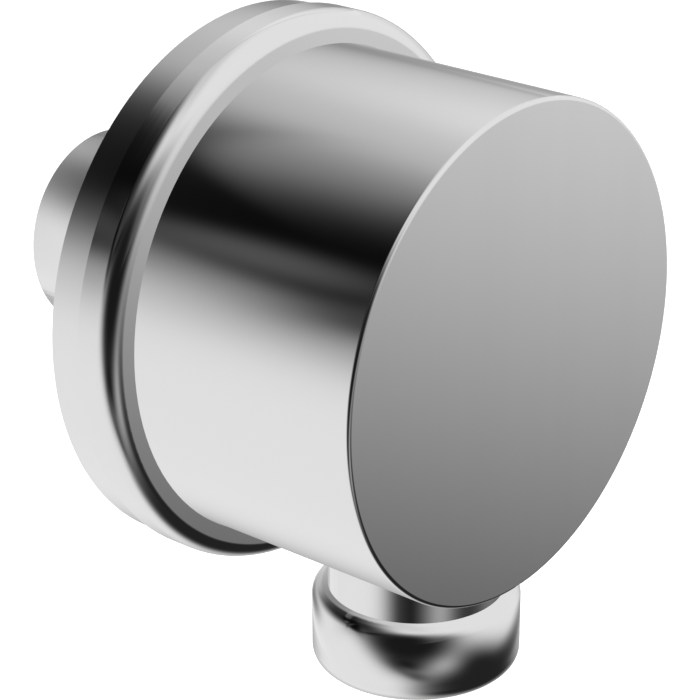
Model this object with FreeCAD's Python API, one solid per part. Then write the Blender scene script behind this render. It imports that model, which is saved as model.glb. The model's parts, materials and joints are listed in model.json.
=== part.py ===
import FreeCAD, Part
import math
import os

# Wall outlet elbow for a shower hose, in millimetres. The wall is the plane y = 0 and the room
# lies towards -Y. The round body's axis is the Y axis, +Z is up and the outlet points down.
# Turned pieces are drawn as half sections of (radius, height, rounding) corners round a local Z
# axis. On the body's axis the height is the distance out from the wall.

# Outer form
body_d = 50.0
projection = 34.4
front_edge_r = 0.5
rear_chamfer = 0.4
body_rear = 1.6

# Escutcheon, stepped out between its rear and front bands
escutcheon_wall = 2.84
escutcheon_step = 0.4
escutcheon_depth = 8.15
escutcheon_rear_band = 3.9
escutcheon_edge_r = 1.8
escutcheon_chamfer = 0.1
escutcheon_fit = 0.06
gasket_width = 1.3
gasket_depth = 1.5

# Outlet connection
outlet_from_wall = 22.1
collar_d = 21.24
collar_end = 36.45
collar_top = 28.1
collar_end_r = 1.5
collar_top_r = 1.1
neck_d = 18.0
neck_depth = 6.0
shank_d = 16.0
shank_length = 6.6
outlet_key = 12.0
outlet_key_depth = 8.0

# Wall connection
stub_d = 21.1
stub_length = 21.1
stub_edge = 0.3
relief_d = 18.4
flange_key = 24.0
flange_thickness = 2.8
wall_seal_d = 27.0
wall_seal_thickness = 1.8
spigot_d = 17.9
lock_groove_depth = 0.9
lock_groove_floor = 1.6

# Inside of the casting
body_wall = 3.2
front_wall = 4.2
socket_wall = 4.5
socket_gap = 0.8
pocket_draft = math.radians(1.0)
pocket_floor_r = 1.5
rib_thickness = 2.6
rib_set_back = 3.0
rib_angles = (20.0, 90.0, 160.0)
outlet_boss_wall = 3.1
screw_boss_wall = 3.0
waterway_d = 10.0
lead_in = 0.6
lead_in_length = 1.0
socket_end_room = 0.8
spigot_end_gap = 1.2
spigot_end_chamfer = 0.5

# Seals
gland_depth = 1.25
gland_width = 1.8
seal_width = 1.5
seal_flat = 0.5
seal_relief = 0.02
flat_relief = 0.1

# Lock screw
screw_d = 3.0
screw_length = 7.0
screw_tip_d = 1.0
screw_key = 1.5
screw_key_depth = 2.0

# Strainer in the inlet
strainer_seat_d = 15.2
strainer_seat_depth = 3.2
screen_thickness = 0.5
screen_hole_d = 1.3
screen_hole_pitch = 2.1
strainer_ring_d = 11.4
strainer_ring_thickness = 2.2

# Clearances
slide_fit = 0.1
thread_fit = 0.05

# Sizes that follow
body_r = body_d / 2
escutcheon_bore_r = body_r + escutcheon_fit
escutcheon_rear_r = escutcheon_bore_r + escutcheon_wall
escutcheon_front_r = escutcheon_rear_r + escutcheon_step
gasket_inner_r = escutcheon_bore_r + (escutcheon_wall - gasket_width) / 2
gasket_outer_r = gasket_inner_r + gasket_width
neck_hole_r = neck_d / 2 + slide_fit
spigot_r = spigot_d / 2
socket_r = spigot_r + slide_fit
socket_mouth = wall_seal_thickness + flange_thickness + socket_gap
socket_floor = outlet_from_wall + waterway_d / 2 + socket_end_room
spigot_end = outlet_from_wall - waterway_d / 2 - spigot_end_gap
neck_top = -body_r + neck_depth
shank_top = neck_top + shank_length
screw_from_wall = (escutcheon_depth + outlet_from_wall - neck_hole_r) / 2
lock_groove_r = spigot_r - lock_groove_depth
lock_groove_half = lock_groove_floor / 2 + lock_groove_depth
rear_gland = (socket_mouth + lead_in_length + screw_from_wall - lock_groove_half) / 2
front_gland = (screw_from_wall + lock_groove_half + spigot_end - spigot_end_chamfer) / 2
body_gland = (body_rear + escutcheon_depth) / 2
outlet_gland = neck_top - gland_width / 2 - lead_in_length
overrun = 1.0


def outline(corners):
    """Closed wire in the XZ plane through (x, z, rounding) corners."""
    points = [FreeCAD.Vector(x, 0, z) for x, z, _ in corners]
    stretches = []
    arcs = []
    for number, (_, _, rounding) in enumerate(corners):
        corner = points[number]
        back = (points[number - 1] - corner).normalize()
        on = (points[(number + 1) % len(points)] - corner).normalize()
        half_angle = back.getAngle(on) / 2
        reach = rounding / math.tan(half_angle)
        start = corner + back * reach
        end = corner + on * reach
        stretches.append((start, end))
        if rounding:
            middle = corner + (back + on).normalize() * rounding * (1 / math.sin(half_angle) - 1)
            arcs.append(Part.Arc(start, middle, end).toShape())
    lines = [
        Part.LineSegment(stretches[number - 1][1], stretches[number][0]).toShape()
        for number in range(len(corners))
    ]
    return Part.Wire(Part.__sortEdges__(lines + arcs))


def turned(corners):
    """Solid of revolution of a half section round the Z axis."""
    face = Part.Face(outline(corners))
    return face.revolve(FreeCAD.Vector(0, 0, 0), FreeCAD.Vector(0, 0, 1), 360)


def plain(corners):
    """Corners with no rounding, from (radius, height) pairs."""
    return [(radius, height, 0) for radius, height in corners]


def ring(inner_r, outer_r, low, high):
    """Ring of rectangular section."""
    return turned(plain([(inner_r, low), (outer_r, low), (outer_r, high), (inner_r, high)]))


def rod(radius, low, high):
    """Round rod on the Z axis."""
    return Part.makeCylinder(radius, high - low, FreeCAD.Vector(0, 0, low))


def hexagon(across_flats, low, high):
    """Hexagonal prism on the Z axis."""
    radius = across_flats / math.sqrt(3)
    turns = [math.radians(60 * side + 30) for side in range(7)]
    points = [FreeCAD.Vector(radius * math.cos(turn), radius * math.sin(turn), low) for turn in turns]
    return Part.Face(Part.makePolygon(points)).extrude(FreeCAD.Vector(0, 0, high - low))


def seal(inner_r, outer_r, middle):
    """O-ring squeezed between two round walls: flat where it presses, bulged at its sides."""
    low_r = inner_r + seal_relief
    high_r = outer_r - seal_relief
    shoulder = (high_r - low_r - seal_flat) / 2
    half_width = seal_width / 2
    half_flat = half_width - shoulder
    return turned(plain([
        (low_r, middle - half_flat),
        (low_r + shoulder, middle - half_width),
        (high_r - shoulder, middle - half_width),
        (high_r, middle - half_flat),
        (high_r, middle + half_flat),
        (high_r - shoulder, middle + half_width),
        (low_r + shoulder, middle + half_width),
        (low_r, middle + half_flat),
    ]))


def on_body_axis(shape):
    """Lay a piece on the body's axis, its height towards the room."""
    shape.rotate(FreeCAD.Vector(0, 0, 0), FreeCAD.Vector(1, 0, 0), 90)
    return shape


def upright(shape, from_wall):
    """Stand a piece on a vertical axis at a distance from the wall."""
    shape.translate(FreeCAD.Vector(0, -from_wall, 0))
    return shape


def pocket():
    """Cored space between the casting's round wall and its socket, drafted towards the rear."""
    floor = projection - front_wall
    mouth_r = body_r - body_wall
    floor_r = mouth_r - math.tan(pocket_draft) * (floor - body_rear)
    boss_r = socket_r + socket_wall
    root_r = boss_r + math.tan(pocket_draft) * (floor - socket_mouth)
    return turned([
        (0, body_rear - overrun, 0),
        (mouth_r, body_rear - overrun, 0),
        (floor_r, floor, pocket_floor_r),
        (root_r, floor, pocket_floor_r),
        (boss_r, socket_mouth, 0),
        (0, socket_mouth, 0),
    ])


def rib(angle):
    """Flat rib from the socket to the round wall."""
    start = socket_mouth + rib_set_back
    plate = Part.makeBox(
        body_r - body_wall / 2,
        rib_thickness,
        projection - start,
        FreeCAD.Vector(0, -rib_thickness / 2, start),
    )
    plate.rotate(FreeCAD.Vector(0, 0, 0), FreeCAD.Vector(0, 0, 1), angle)
    return plate


def elbow_body():
    """Casting: round body, socket, water leg, ribs, screw boss and escutcheon seal groove."""
    blank = turned([
        (0, body_rear, 0),
        (body_r - rear_chamfer, body_rear, 0),
        (body_r, body_rear + rear_chamfer, 0),
        (body_r, projection, front_edge_r),
        (0, projection, 0),
    ])
    boss_depth = body_r - body_wall / 2
    outlet_boss = upright(rod(neck_hole_r + outlet_boss_wall, -boss_depth, 0), outlet_from_wall)
    screw_boss = upright(rod(screw_d / 2 + screw_boss_wall, -boss_depth, 0), screw_from_wall)
    kept = [on_body_axis(rib(angle)) for angle in rib_angles] + [outlet_boss, screw_boss]
    core = on_body_axis(pocket()).cut(kept)
    socket = turned(plain([
        (0, socket_mouth - overrun),
        (socket_r + lead_in, socket_mouth - overrun),
        (socket_r + lead_in, socket_mouth),
        (socket_r, socket_mouth + lead_in_length),
        (socket_r, socket_floor),
        (0, socket_floor),
    ]))
    seal_groove = ring(
        body_r - gland_depth,
        body_r + overrun,
        body_gland - gland_width / 2,
        body_gland + gland_width / 2,
    )
    neck_hole = rod(neck_hole_r, -body_r - overrun, neck_top)
    shank_hole = rod(shank_d / 2 + thread_fit, neck_top - overrun, shank_top + flat_relief)
    water_leg = rod(waterway_d / 2, shank_top - overrun, 0)
    screw_hole = rod(screw_d / 2, -body_r - overrun, 0)
    return on_body_axis(blank).cut([
        core,
        on_body_axis(socket),
        on_body_axis(seal_groove),
        upright(neck_hole, outlet_from_wall),
        upright(shank_hole, outlet_from_wall),
        upright(water_leg, outlet_from_wall),
        upright(screw_hole, screw_from_wall),
    ])


def escutcheon():
    """Stepped ring with a rounded front corner and a gasket groove behind."""
    blank = turned([
        (escutcheon_bore_r, 0, 0),
        (escutcheon_rear_r - escutcheon_chamfer, 0, 0),
        (escutcheon_rear_r, escutcheon_chamfer, 0),
        (escutcheon_rear_r, escutcheon_rear_band, 0),
        (escutcheon_front_r, escutcheon_rear_band, 0),
        (escutcheon_front_r, escutcheon_depth, escutcheon_edge_r),
        (escutcheon_bore_r, escutcheon_depth, 0),
    ])
    return on_body_axis(blank.cut(ring(gasket_inner_r, gasket_outer_r, -overrun, gasket_depth)))


def escutcheon_gasket():
    """Soft ring that fills the escutcheon's rear groove."""
    return on_body_axis(ring(gasket_inner_r + seal_relief, gasket_outer_r - seal_relief, 0, gasket_depth))


def outlet_nipple():
    """Hose connection: collar, neck with seal groove, threaded shank, bore and key socket."""
    collar_r = collar_d / 2
    neck_r = neck_d / 2
    shank_r = shank_d / 2
    groove_r = neck_hole_r - gland_depth
    top = shank_top - flat_relief
    blank = turned([
        (0, -collar_end, 0),
        (collar_r, -collar_end, collar_end_r),
        (collar_r, -collar_top, collar_top_r),
        (neck_r, -collar_top, 0),
        (neck_r, outlet_gland - gland_width / 2, 0),
        (groove_r, outlet_gland - gland_width / 2, 0),
        (groove_r, outlet_gland + gland_width / 2, 0),
        (neck_r, outlet_gland + gland_width / 2, 0),
        (neck_r, neck_top - flat_relief, 0),
        (shank_r, neck_top - flat_relief, 0),
        (shank_r, top - lead_in, 0),
        (shank_r - lead_in, top, 0),
        (0, top, 0),
    ])
    bore = rod(waterway_d / 2, -collar_end - overrun, top + overrun)
    key_end = -collar_end + outlet_key_depth
    key_corner_r = outlet_key / math.sqrt(3)
    key_socket = hexagon(outlet_key, -collar_end - overrun, key_end)
    mouth = Part.makeCone(key_corner_r + lead_in, outlet_key / 2, key_corner_r + lead_in - outlet_key / 2)
    mouth.translate(FreeCAD.Vector(0, 0, -collar_end))
    return upright(blank.cut([bore, key_socket, mouth]), outlet_from_wall)


def wall_nipple():
    """Wall connection: stub, thread relief, hexagon flange and spigot with its grooves."""
    stub_r = stub_d / 2
    flange_low = wall_seal_thickness
    flange_high = flange_low + flange_thickness
    groove_r = socket_r - gland_depth
    half_gland = gland_width / 2
    half_floor = lock_groove_floor / 2
    blank = turned(plain([
        (0, -stub_length),
        (stub_r - stub_edge, -stub_length),
        (stub_r, -stub_length + stub_edge),
        (stub_r, 0),
        (relief_d / 2, 0),
        (relief_d / 2, flange_low),
        (spigot_r, flange_low),
        (spigot_r, rear_gland - half_gland),
        (groove_r, rear_gland - half_gland),
        (groove_r, rear_gland + half_gland),
        (spigot_r, rear_gland + half_gland),
        (spigot_r, screw_from_wall - lock_groove_half),
        (lock_groove_r, screw_from_wall - half_floor),
        (lock_groove_r, screw_from_wall + half_floor),
        (spigot_r, screw_from_wall + lock_groove_half),
        (spigot_r, front_gland - half_gland),
        (groove_r, front_gland - half_gland),
        (groove_r, front_gland + half_gland),
        (spigot_r, front_gland + half_gland),
        (spigot_r, spigot_end - spigot_end_chamfer),
        (spigot_r - spigot_end_chamfer, spigot_end),
        (0, spigot_end),
    ]))
    flange = hexagon(flange_key, flange_low, flange_high)
    bore = rod(waterway_d / 2, -stub_length - overrun, spigot_end + overrun)
    strainer_seat = rod(strainer_seat_d / 2, -stub_length - overrun, -stub_length + strainer_seat_depth)
    return on_body_axis(blank.fuse(flange).removeSplitter().cut([bore, strainer_seat]))


def wall_seal():
    """Flat washer behind the flange, in the thread relief."""
    return on_body_axis(ring(relief_d / 2 + slide_fit, wall_seal_d / 2, 0, wall_seal_thickness))


def screen_holes():
    """Places of the screen's holes: rows of a triangular grid that stay inside the ring."""
    reach = strainer_ring_d / 2 - screen_hole_d
    row_pitch = screen_hole_pitch * math.sqrt(3) / 2
    rows = int(reach / row_pitch)
    places = []
    for row in range(-rows, rows + 1):
        shift = screen_hole_pitch / 2 if row % 2 else 0
        columns = int(reach / screen_hole_pitch) + 1
        for column in range(-columns, columns + 1):
            x = column * screen_hole_pitch + shift
            y = row * row_pitch
            if math.hypot(x, y) <= reach:
                places.append((x, y))
    return places


def strainer_screen():
    """Perforated disc on the shoulder of the inlet."""
    high = -stub_length + strainer_seat_depth
    low = high - screen_thickness
    disc = rod(strainer_seat_d / 2 - slide_fit, low, high)
    hole = rod(screen_hole_d / 2, low - overrun, high + overrun)
    holes = [hole.translated(FreeCAD.Vector(x, y, 0)) for x, y in screen_holes()]
    return on_body_axis(disc.cut(holes))


def strainer_ring():
    """Ring pressed into the inlet over the screen."""
    high = -stub_length + strainer_seat_depth - screen_thickness
    outer_r = strainer_seat_d / 2 - slide_fit
    inner_r = strainer_ring_d / 2
    return on_body_axis(ring(inner_r, outer_r, high - strainer_ring_thickness, high))


def grub_screw():
    """Lock screw: cone tip in the spigot's groove, hexagon socket below."""
    radius = screw_d / 2 - thread_fit
    tip_r = screw_tip_d / 2
    tip = -lock_groove_r - slide_fit
    end = tip - screw_length
    blank = turned(plain([
        (0, end),
        (radius - thread_fit, end),
        (radius, end + thread_fit),
        (radius, tip - (radius - tip_r)),
        (tip_r, tip),
        (0, tip),
    ]))
    key_socket = hexagon(screw_key, end - overrun, end + screw_key_depth)
    return upright(blank.cut(key_socket), screw_from_wall)


pieces = {
    "elbow_body": elbow_body(),
    "escutcheon": escutcheon(),
    "escutcheon_gasket": escutcheon_gasket(),
    "escutcheon_o_ring": on_body_axis(seal(body_r - gland_depth, escutcheon_bore_r, body_gland)),
    "outlet_nipple": outlet_nipple(),
    "outlet_o_ring": upright(
        seal(neck_hole_r - gland_depth, neck_hole_r, outlet_gland), outlet_from_wall
    ),
    "wall_nipple": wall_nipple(),
    "wall_seal": wall_seal(),
    "nipple_o_ring_rear": on_body_axis(seal(socket_r - gland_depth, socket_r, rear_gland)),
    "nipple_o_ring_front": on_body_axis(seal(socket_r - gland_depth, socket_r, front_gland)),
    "grub_screw": grub_screw(),
    "strainer_screen": strainer_screen(),
    "strainer_ring": strainer_ring(),
}

os.makedirs("parts", exist_ok=True)
for name, piece in pieces.items():
    piece.exportStep("parts/" + name + ".step")
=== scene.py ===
import json
import math
from dataclasses import dataclass

import bpy
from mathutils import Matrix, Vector

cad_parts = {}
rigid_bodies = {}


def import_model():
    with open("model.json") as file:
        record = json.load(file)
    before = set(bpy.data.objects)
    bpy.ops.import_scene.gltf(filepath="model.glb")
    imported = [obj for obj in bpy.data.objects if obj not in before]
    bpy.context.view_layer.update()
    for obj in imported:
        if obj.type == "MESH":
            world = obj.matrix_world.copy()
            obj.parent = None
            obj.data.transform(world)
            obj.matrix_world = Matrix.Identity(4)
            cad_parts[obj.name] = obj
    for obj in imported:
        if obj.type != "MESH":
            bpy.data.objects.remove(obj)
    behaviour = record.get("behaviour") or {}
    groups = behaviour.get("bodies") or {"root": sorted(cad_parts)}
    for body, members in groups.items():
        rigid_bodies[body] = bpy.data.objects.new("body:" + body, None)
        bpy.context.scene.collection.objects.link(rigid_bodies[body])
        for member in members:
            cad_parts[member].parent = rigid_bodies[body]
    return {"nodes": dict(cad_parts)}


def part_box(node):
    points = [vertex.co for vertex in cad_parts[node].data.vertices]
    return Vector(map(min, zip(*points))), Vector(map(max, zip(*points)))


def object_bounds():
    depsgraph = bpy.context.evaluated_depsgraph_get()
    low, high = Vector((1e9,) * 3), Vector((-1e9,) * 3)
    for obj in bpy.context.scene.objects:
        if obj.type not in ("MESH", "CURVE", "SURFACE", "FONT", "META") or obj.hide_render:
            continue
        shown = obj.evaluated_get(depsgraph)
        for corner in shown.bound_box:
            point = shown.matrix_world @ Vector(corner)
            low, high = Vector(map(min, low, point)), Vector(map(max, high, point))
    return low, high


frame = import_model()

for spare in [thing for thing in bpy.data.objects if thing.name in ("Cube", "Light", "Camera")]:
    bpy.data.objects.remove(spare)
cad_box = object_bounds()

MM = 0.001

# Camera, in metres and degrees: where it stands round the body's axis and what its lens covers
CAMERA_PLACE = (-0.1846, -0.1700, 0.0985)
CAMERA_AZIMUTH = -50.1
CAMERA_ELEVATION = 24.34
SENSOR_WIDTH = 36.0
FOCAL_LENGTH = 135.5
SHIFT = (-0.0252, 0.0781)
CLIP_START = 0.01

# Floor, far enough below the part for its soft shadow to fall out of the picture
FLOOR_SIZE = 6.0
FLOOR_DROP = 0.34
FLOOR_COLOUR = 0.9
FLOOR_ROUGHNESS = 0.9
FLOOR_GLOW = 0.55

# Soft lamps for rubber, plastic and cast skin, which the cards would leave too dark: place, size
# and power. They don't show in polished metal, which reflects the surround alone.
LAMPS = (
    ("front_lamp", (-0.75, -0.75, 0.45), 0.8, 5.0),
    ("top_lamp", (0.1, -0.1, 1.1), 0.9, 4.0),
    ("rear_lamp", (0.3, 1.0, 0.3), 0.8, 3.5),
)

# Studio surround, painted card over card in this order. Each card or softbox stands in one
# direction (azimuth from -Y towards +X, elevation), covers a half width and a half height and is
# turned about its own middle, all in degrees. Then come how crisply it ends and its level, where
# 1 is white.
SURROUND = (
    ("top_left_card", -143, 42, 78, 33, -6, 2.3, 0.022),
    ("low_front_card", 36, -44, 69, 27, -30, 1.8, 0.02),
    ("floor_card", 48, -61, 62, 29, 24, 2.5, 0.02),
    ("left_card", -58, 8, 53, 42, -4, 3.3, 0.012),
    ("far_left_card", -98, 23, 21, 5, 31, 0.65, 0.01),
    ("low_left_card", -63, -28, 26, 20, -19, 1.2, 0.012),
    ("rear_strip", 170, 54, 46, 3, -3, 3.9, 0.25),
    ("top_softbox", -178, 78, 38, 10, 60, 0.9, 0.77),
    ("right_softbox", 127, 39, 22, 13, 57, 0.95, 1.0),
    ("right_card", 135, 6, 8, 32, -33, 1.4, 0.29),
    ("rear_left_card", -130, 32, 9.5, 30, 40, 2.6, 0.004),
    ("low_left_strip", -52, -45, 18, 7, -38, 1.2, 0.11),
    ("rim_card", 130, -24, 15, 15, 0, 1.0, 0.4),
    ("grey_strip", -135, 27, 2.7, 5.5, 14, 1.2, 0.1),
    ("upright_strip", -128, 22, 12, 2, -90, 1.2, 0.06),
    ("rear_card", 170, -7, 20, 14, 0, 1.6, 0.3),
)
SURROUND_WHITE = 0.99

# Chrome: how much it reflects, by how much faint broad streaks of haze vary that, and how dense
# the streaks are beside the polishing lines. Roughness drifts slowly over the piece.
CHROME_REFLECTANCE = 0.745
HAZE = 0.012
HAZE_DENSITY = 0.3
ROUGHNESS_DRIFT = 60

# Polishing lines: height of their bumps in metres, how much of it shows and their detail
POLISH_DEPTH = 0.00001
POLISH_STRENGTH = 0.1
POLISH_DETAIL = 3.0

# Inside of the casting, left as cast under a thin plating. Its colour is partly the cast skin's own
# tone and partly painted shade that darkens the whole hollow: how far it stays behind the body's
# outside and front in millimetres, its look, its grain and patches per metre, and its depth
CAST_BEHIND_SIDE = 0.8
CAST_BEHIND_FRONT = 0.5
CAST_SKIN_AND_SHADE_COLOUR = (0.42, 0.38, 0.31, 1)
CAST_METALLIC = 0.35
CAST_ROUGHNESS = (0.38, 0.52)
CAST_GRAIN = 1400
CAST_DETAIL = 4.0
CAST_PATCHES = 200
CAST_DEPTH = 0.0002

# Plain finishes: colour, roughness, grain per metre and how metallic
PLAIN_FINISHES = {
    "foam": ((0.09, 0.09, 0.09), 0.8, 4000, 0.0),
    "seal_rubber": ((0.03, 0.03, 0.03), 0.55, 3000, 0.0),
    "ring_plastic": ((0.8, 0.8, 0.78), 0.4, 2000, 0.0),
    "screen_steel": ((0.6, 0.6, 0.61), 0.3, 3000, 1.0),
    "screw_steel": ((0.5, 0.5, 0.51), 0.35, 3000, 1.0),
}
PLAIN_NODES = {
    "escutcheon_gasket": "foam",
    "escutcheon_o_ring": "seal_rubber",
    "outlet_o_ring": "seal_rubber",
    "wall_seal": "seal_rubber",
    "nipple_o_ring_rear": "seal_rubber",
    "nipple_o_ring_front": "seal_rubber",
    "strainer_ring": "ring_plastic",
    "strainer_screen": "screen_steel",
    "grub_screw": "screw_steel",
}
TONE_SPREAD = 0.1
ROUGHNESS_SPREAD = 0.15
PATCHES_PER_GRAIN = 2
BUMPS_PER_GRAIN = 4
BUMP_DEPTH = 0.0001
BUMP_STRENGTH = 0.3
NOISE_DETAIL = 2.0

BODY_AXIS = (0, -1, 0)
UPRIGHT_AXIS = (0, 0, 1)


@dataclass
class Section:
    """Outline of a turned and polished piece, in millimetres and degrees, along its axis.

    Heights are measured from its end. The crown says by how much the polished surface leans
    towards the axis at each height. Only what lies beyond the reach is meant, which keeps the
    bores out. A corner on the outer radius is (height of the edge, rounding, way it turns).
    Crispness, where there is any, draws the roundings together to a thinner line.
    """

    axis: tuple
    origin: tuple
    end: float
    reach: float
    crown: tuple
    radius: float = 0
    corners: tuple = ()
    crispness: float = 0


def box_in_mm(node):
    """Lowest and highest corner of a CAD node, in millimetres."""
    low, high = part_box(node)
    return low / MM, high / MM


body_low, body_high = box_in_mm("elbow_body")
ring_low, ring_high = box_in_mm("escutcheon")
outlet_low, outlet_high = box_in_mm("outlet_nipple")
_, stub_high = box_in_mm("wall_nipple")

BODY_SECTION = Section(
    axis=BODY_AXIS,
    origin=(0, 0, 0),
    end=-body_low.y,
    reach=24.3,
    crown=((-0.9, 0), (0, 0)),
    radius=body_high.x,
    corners=((0, 0.5, 1),),
    crispness=1.3,
)
ESCUTCHEON_SECTION = Section(
    axis=BODY_AXIS,
    origin=(0, 0, 0),
    end=-ring_low.y,
    reach=25.5,
    crown=((-4.25, 4), (-1.85, 3.5), (-1.25, -2.5), (-0.15, -7), (-0.01, -5), (0, 0)),
    radius=ring_high.x,
    corners=((0, 1.8, 1),),
)
COLLAR_SECTION = Section(
    axis=UPRIGHT_AXIS,
    origin=(0, (outlet_low.y + outlet_high.y) / 2, 0),
    end=outlet_low.z,
    reach=8.5,
    crown=((0, 0), (0.75, -15), (2.25, -16), (7.25, 21), (7.95, 0), (8.2, -6), (8.35, -25)),
    radius=outlet_high.x,
    corners=((8.35, 1.1, 1), (0, 1.5, -1)),
)
STUB_SECTION = Section(
    axis=BODY_AXIS,
    origin=(0, 0, 0),
    end=-stub_high.y,
    reach=10.2,
    crown=((0.3, -14.5), (4.6, -12.5), (21.1, 0)),
)
SECTION_END = 0.02

# Chromed pieces: material, least and most roughness, density of the polishing lines per metre
# along X, Y and Z, and section
CHROMED_NODES = {
    "elbow_body": ("body_chrome", 0.03, 0.05, (900, 40, 40), BODY_SECTION),
    "escutcheon": ("escutcheon_chrome", 0.04, 0.06, (60, 900, 60), ESCUTCHEON_SECTION),
    "outlet_nipple": ("outlet_chrome", 0.04, 0.06, (60, 60, 900), COLLAR_SECTION),
    "wall_nipple": ("stub_chrome", 0.13, 0.16, (60, 900, 60), STUB_SECTION),
}
CAST_NODE = "elbow_body"


class Nodes:
    """Small helper that adds shader nodes to one node tree."""

    # The Mix node's first input, second input and output, by kind of data
    MIX_SOCKETS = {"FLOAT": (2, 3, 0), "VECTOR": (4, 5, 1), "RGBA": (6, 7, 2)}

    def __init__(self, tree):
        self.tree = tree
        tree.nodes.clear()

    def add(self, kind, inputs=(), **settings):
        node = self.tree.nodes.new(kind)
        for name, value in settings.items():
            setattr(node, name, value)
        for socket, value in dict(inputs).items():
            self.feed(node.inputs[socket], value)
        return node

    def feed(self, socket, value):
        if isinstance(value, bpy.types.NodeSocket):
            self.tree.links.new(value, socket)
        else:
            socket.default_value = value

    def math(self, operation, *values):
        return self.add("ShaderNodeMath", enumerate(values), operation=operation).outputs[0]

    def vector(self, operation, *values, scale=None, output="Vector"):
        node = self.add("ShaderNodeVectorMath", enumerate(values), operation=operation)
        if scale is not None:
            self.feed(node.inputs["Scale"], scale)
        return node.outputs[output]

    def dot(self, vector, axis):
        return self.vector("DOT_PRODUCT", vector, axis, output="Value")

    def length(self, vector):
        return self.vector("LENGTH", vector, output="Value")

    def mix(self, kind, factor, first, second):
        first_socket, second_socket, output = self.MIX_SOCKETS[kind]
        inputs = {0: factor, first_socket: first, second_socket: second}
        return self.add("ShaderNodeMix", inputs, data_type=kind).outputs[output]

    def spread(self, value, low, high, start=0.0, stop=1.0):
        """Value from start..stop spread over low..high, and no further."""
        inputs = {
            "Value": value, "From Min": start, "From Max": stop, "To Min": low, "To Max": high
        }
        return self.add("ShaderNodeMapRange", inputs).outputs["Result"]

    def bump(self, strength, depth, height, normal=None):
        inputs = {"Strength": strength, "Distance": depth, "Height": height}
        if normal:
            inputs["Normal"] = normal
        return self.add("ShaderNodeBump", inputs).outputs["Normal"]


def card_axes(azimuth, elevation, turn):
    """Unit vectors to a card's middle, along its width and along its height."""
    across = math.radians(azimuth)
    up = math.radians(elevation)
    roll = math.radians(turn)
    middle = Vector((math.sin(across) * math.cos(up), -math.cos(across) * math.cos(up), math.sin(up)))
    level = Vector((math.cos(across), math.sin(across), 0))
    upright = middle.cross(level) * -1
    if upright.z < 0:
        upright = upright * -1
    width = level * math.cos(roll) + upright * math.sin(roll)
    height = upright * math.cos(roll) - level * math.sin(roll)
    return middle, width, height


def card_mask(nodes, direction, azimuth, elevation, half_width, half_height, turn, edge):
    """1 in the middle of a card, fading to 0 past its edge."""
    middle, width, height = card_axes(azimuth, elevation, turn)
    along = nodes.dot(direction, width / math.sin(math.radians(half_width)))
    above = nodes.dot(direction, height / math.sin(math.radians(half_height)))
    along_squared = nodes.math("MULTIPLY", along, along)
    above_squared = nodes.math("MULTIPLY", above, above)
    distance = nodes.math("ADD", along_squared, above_squared)
    fade = nodes.math("MULTIPLY", nodes.math("POWER", distance, edge), -1.0)
    facing = nodes.math("GREATER_THAN", nodes.dot(direction, middle), 0.0)
    return nodes.math("MULTIPLY", nodes.math("EXPONENT", fade), facing)


def make_world():
    """Soft white studio with grey and black cards. The camera sees plain white."""
    world = bpy.data.worlds.new("studio")
    world.use_nodes = True
    nodes = Nodes(world.node_tree)
    direction = nodes.add("ShaderNodeTexCoord").outputs["Generated"]
    level = SURROUND_WHITE
    for _, azimuth, elevation, half_width, half_height, turn, edge, brightness in SURROUND:
        mask = card_mask(nodes, direction, azimuth, elevation, half_width, half_height, turn, edge)
        level = nodes.mix("FLOAT", mask, level, brightness)
    surround = nodes.add("ShaderNodeBackground", {"Color": level, "Strength": 1.0})
    plain = nodes.add("ShaderNodeBackground", {"Color": (1, 1, 1, 1), "Strength": 1.0})
    path = nodes.add("ShaderNodeLightPath")
    seen = nodes.add(
        "ShaderNodeMixShader",
        {0: path.outputs["Is Camera Ray"], 1: surround.outputs[0], 2: plain.outputs[0]},
    )
    nodes.add("ShaderNodeOutputWorld", {"Surface": seen.outputs[0]})
    bpy.context.scene.world = world


def make_camera():
    """Camera at the photograph's viewing angle."""
    data = bpy.data.cameras.new("camera")
    data.sensor_fit = "HORIZONTAL"
    data.sensor_width = SENSOR_WIDTH
    data.lens = FOCAL_LENGTH
    data.shift_x, data.shift_y = SHIFT
    data.clip_start = CLIP_START
    camera = bpy.data.objects.new("camera", data)
    camera.location = CAMERA_PLACE
    camera.rotation_euler = (
        math.radians(90 - CAMERA_ELEVATION), 0, math.radians(CAMERA_AZIMUTH)
    )
    bpy.context.collection.objects.link(camera)
    bpy.context.scene.camera = camera


def material(name):
    """New node material, its node helper and its main shader, already wired to the output."""
    made = bpy.data.materials.new(name)
    made.use_nodes = True
    nodes = Nodes(made.node_tree)
    shader = nodes.add("ShaderNodeBsdfPrincipled")
    nodes.add("ShaderNodeOutputMaterial", {"Surface": shader.outputs[0]})
    return made, nodes, shader


def place(nodes):
    """Position on the piece, in metres."""
    return nodes.add("ShaderNodeTexCoord").outputs["Object"]


def noise(nodes, scale, detail=NOISE_DETAIL):
    """Noise in steps of 1/scale metres."""
    node = nodes.add(
        "ShaderNodeTexNoise", {"Vector": place(nodes), "Scale": scale, "Detail": detail}
    )
    return node.outputs["Fac"]


def stretched_noise(nodes, density, detail):
    """Noise with a density of its own along X, Y and Z, per metre."""
    stretched = nodes.vector("MULTIPLY", place(nodes), density)
    node = nodes.add("ShaderNodeTexNoise", {"Vector": stretched, "Scale": 1.0, "Detail": detail})
    return node.outputs["Fac"]


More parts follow.
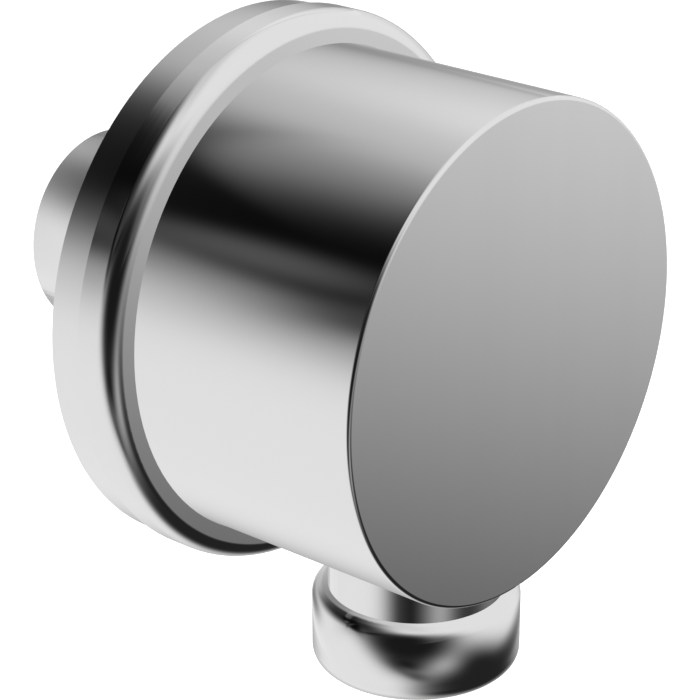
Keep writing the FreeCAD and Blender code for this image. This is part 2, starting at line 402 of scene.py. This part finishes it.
def height_ramp(nodes, height, stops):
    """Angle that follows (height in millimetres, degrees) stops, in radians.

    The ramp holds it as a grey, from black for the most negative to white for the most positive.
    It starts with two marks, and the other stops get marks of their own.
    """
    low, high = stops[0][0], stops[-1][0]
    most = max(abs(degrees) for _, degrees in stops) or 1
    climb = nodes.spread(height, 0.0, 1.0, low * MM, high * MM)
    ramp = nodes.add("ShaderNodeValToRGB", {"Fac": climb})
    marks = ramp.color_ramp.elements
    for number, (stop_height, degrees) in enumerate(stops):
        where = (stop_height - low) / (high - low)
        mark = marks[number] if number < 2 else marks.new(where)
        mark.position = where
        grey = 0.5 + degrees / most / 2
        mark.color = (grey, grey, grey, 1)
    return nodes.spread(ramp.outputs["Color"], -math.radians(most), math.radians(most))


def corner_bend(nodes, height, radius, middle_height, middle_radius, turn):
    """How far a rounding has turned at a height and radius, from 0 to a quarter turn."""
    above = nodes.math("MULTIPLY", nodes.math("SUBTRACT", height, middle_height * MM), turn)
    beyond = nodes.math("SUBTRACT", radius, middle_radius * MM)
    return nodes.math(
        "ARCTAN2", nodes.math("MAXIMUM", above, 0.0), nodes.math("MAXIMUM", beyond, 0.0)
    )


def crisper(nodes, slope, crispness):
    """Slope with its way from 0 to a quarter turn drawn together."""
    middle = math.pi / 4
    width = middle / crispness
    return nodes.spread(slope, 0.0, math.pi / 2, middle - width, middle + width)


def section_normal(nodes, section):
    """Normal of a turned piece, worked out from its section with its roundings and its crown."""
    origin = tuple(part * MM for part in section.origin)
    from_axis = nodes.vector("SUBTRACT", place(nodes), origin)
    height = nodes.dot(from_axis, section.axis)
    along = nodes.vector("SCALE", section.axis, scale=height)
    across = nodes.vector("SUBTRACT", from_axis, along)
    radius = nodes.length(across)

    stops = [(section.end + from_end, lean) for from_end, lean in section.crown]
    slope = height_ramp(nodes, height, stops)
    for edge, rounding, turn in section.corners:
        middle_height = section.end + edge - turn * rounding
        middle_radius = section.radius - rounding
        bend = corner_bend(nodes, height, radius, middle_height, middle_radius, turn)
        slope = nodes.math("MULTIPLY_ADD", bend, turn, slope)
    if section.crispness:
        slope = crisper(nodes, slope, section.crispness)

    outward = nodes.vector(
        "SCALE", nodes.vector("NORMALIZE", across), scale=nodes.math("COSINE", slope)
    )
    upward = nodes.vector("SCALE", section.axis, scale=nodes.math("SINE", slope))
    above = nodes.math("GREATER_THAN", height, (stops[0][0] - SECTION_END) * MM)
    below = nodes.math("LESS_THAN", height, (stops[-1][0] + SECTION_END) * MM)
    outside = nodes.math("GREATER_THAN", radius, section.reach * MM)
    here = nodes.math("MULTIPLY", nodes.math("MULTIPLY", above, below), outside)
    own = nodes.add("ShaderNodeNewGeometry").outputs["Normal"]
    return nodes.mix("VECTOR", here, own, nodes.vector("ADD", outward, upward))


def polish(nodes, density, normal):
    """Normal with the faint lines that a polishing wheel leaves."""
    lines = stretched_noise(nodes, density, POLISH_DETAIL)
    return nodes.bump(POLISH_STRENGTH, POLISH_DEPTH, lines, normal)


def chrome(name, low_roughness, high_roughness, density, section):
    """Polished chrome plate with faint haze and polishing lines."""
    made, nodes, shader = material(name)
    shader.inputs["Metallic"].default_value = 1.0
    haze = stretched_noise(nodes, tuple(HAZE_DENSITY * part for part in density), NOISE_DETAIL)
    low, high = CHROME_REFLECTANCE - HAZE, CHROME_REFLECTANCE + HAZE
    nodes.feed(shader.inputs["Base Color"], nodes.spread(haze, low, high))
    drift = nodes.spread(noise(nodes, ROUGHNESS_DRIFT), low_roughness, high_roughness)
    nodes.feed(shader.inputs["Roughness"], drift)
    nodes.feed(shader.inputs["Normal"], polish(nodes, density, section_normal(nodes, section)))
    return made, nodes, shader


def cast_skin_and_shade(nodes, shader):
    """Turn the hidden side of the chromed casting into dull, grainy cast skin, darker than the
    chrome: partly its own tone, partly painted shade over the hollow.
    """
    position = place(nodes)
    radius = nodes.length(nodes.vector("MULTIPLY", position, (1, 0, 1)))
    height = nodes.dot(position, BODY_AXIS)
    within = nodes.math("LESS_THAN", radius, (BODY_SECTION.radius - CAST_BEHIND_SIDE) * MM)
    behind = nodes.math("LESS_THAN", height, (BODY_SECTION.end - CAST_BEHIND_FRONT) * MM)
    inside = nodes.math("MULTIPLY", within, behind)

    outer_colour, outer_roughness, outer_normal = (
        shader.inputs[name].links[0].from_socket for name in ("Base Color", "Roughness", "Normal")
    )
    # Dark cast colour over the whole hollow: the skin's own tone, and partly painted shade for its
    # depth
    colour = nodes.mix("RGBA", inside, outer_colour, CAST_SKIN_AND_SHADE_COLOUR)
    dull = nodes.spread(noise(nodes, CAST_PATCHES), *CAST_ROUGHNESS)
    roughness = nodes.mix("FLOAT", inside, outer_roughness, dull)
    skin = noise(nodes, CAST_GRAIN, CAST_DETAIL)
    nodes.feed(shader.inputs["Base Color"], colour)
    nodes.feed(shader.inputs["Metallic"], nodes.spread(inside, 1.0, CAST_METALLIC))
    nodes.feed(shader.inputs["Roughness"], roughness)
    nodes.feed(shader.inputs["Normal"], nodes.bump(inside, CAST_DEPTH, skin, outer_normal))


def plain_finish(name, colour, roughness, grain, metallic):
    """Dull, slightly uneven finish for rubber, plastic and plain steel."""
    made, nodes, shader = material(name)
    shader.inputs["Metallic"].default_value = metallic
    low = tuple(part * (1 - TONE_SPREAD) for part in colour) + (1,)
    high = tuple(min(part * (1 + TONE_SPREAD), 1) for part in colour) + (1,)
    smooth, rough = roughness * (1 - ROUGHNESS_SPREAD), roughness * (1 + ROUGHNESS_SPREAD)
    patches = noise(nodes, grain * PATCHES_PER_GRAIN)
    bumps = noise(nodes, grain * BUMPS_PER_GRAIN)
    nodes.feed(shader.inputs["Base Color"], nodes.mix("RGBA", noise(nodes, grain), low, high))
    nodes.feed(shader.inputs["Roughness"], nodes.spread(patches, smooth, rough))
    nodes.feed(shader.inputs["Normal"], nodes.bump(BUMP_STRENGTH, BUMP_DEPTH, bumps))
    return made


def wear(node, finish):
    """Put a finish on a CAD node. As in the photograph, no piece shows in another."""
    piece = frame["nodes"][node]
    for slot in piece.material_slots:
        slot.material = finish
    piece.visible_glossy = False


def dress():
    """Give every node its finish."""
    for node, recipe in CHROMED_NODES.items():
        finish, nodes, shader = chrome(*recipe)
        if node == CAST_NODE:
            cast_skin_and_shade(nodes, shader)
        wear(node, finish)
    finishes = {name: plain_finish(name, *recipe) for name, recipe in PLAIN_FINISHES.items()}
    for node, name in PLAIN_NODES.items():
        wear(node, finishes[name])


def make_floor():
    """Pale floor well below the part. To the camera it glows up to white, shadows aside."""
    bpy.ops.mesh.primitive_plane_add(size=FLOOR_SIZE, location=(0, 0, cad_box[0][2] - FLOOR_DROP))
    floor = bpy.context.object
    floor.name = "floor"
    made, nodes, shader = material("pale_floor")
    shader.inputs["Base Color"].default_value = (FLOOR_COLOUR,) * 3 + (1,)
    shader.inputs["Roughness"].default_value = FLOOR_ROUGHNESS
    shader.inputs["Emission Color"].default_value = (1, 1, 1, 1)
    path = nodes.add("ShaderNodeLightPath")
    glow = nodes.math("MULTIPLY", path.outputs["Is Camera Ray"], FLOOR_GLOW)
    nodes.feed(shader.inputs["Emission Strength"], glow)
    floor.data.materials.append(made)
    floor.visible_glossy = False
    floor.visible_diffuse = False
    floor.visible_shadow = False


def make_lamps():
    """Soft lamps that light the dull pieces and stay out of the reflections."""
    for name, location, size, power in LAMPS:
        data = bpy.data.lights.new(name, "AREA")
        data.size = size
        data.energy = power
        lamp = bpy.data.objects.new(name, data)
        lamp.location = location
        lamp.rotation_euler = Vector(location).to_track_quat("Z", "Y").to_euler()
        lamp.visible_glossy = False
        bpy.context.collection.objects.link(lamp)


make_camera()
make_world()
make_floor()
make_lamps()
dress()

scene = bpy.context.scene
scene.view_settings.view_transform = "Standard"
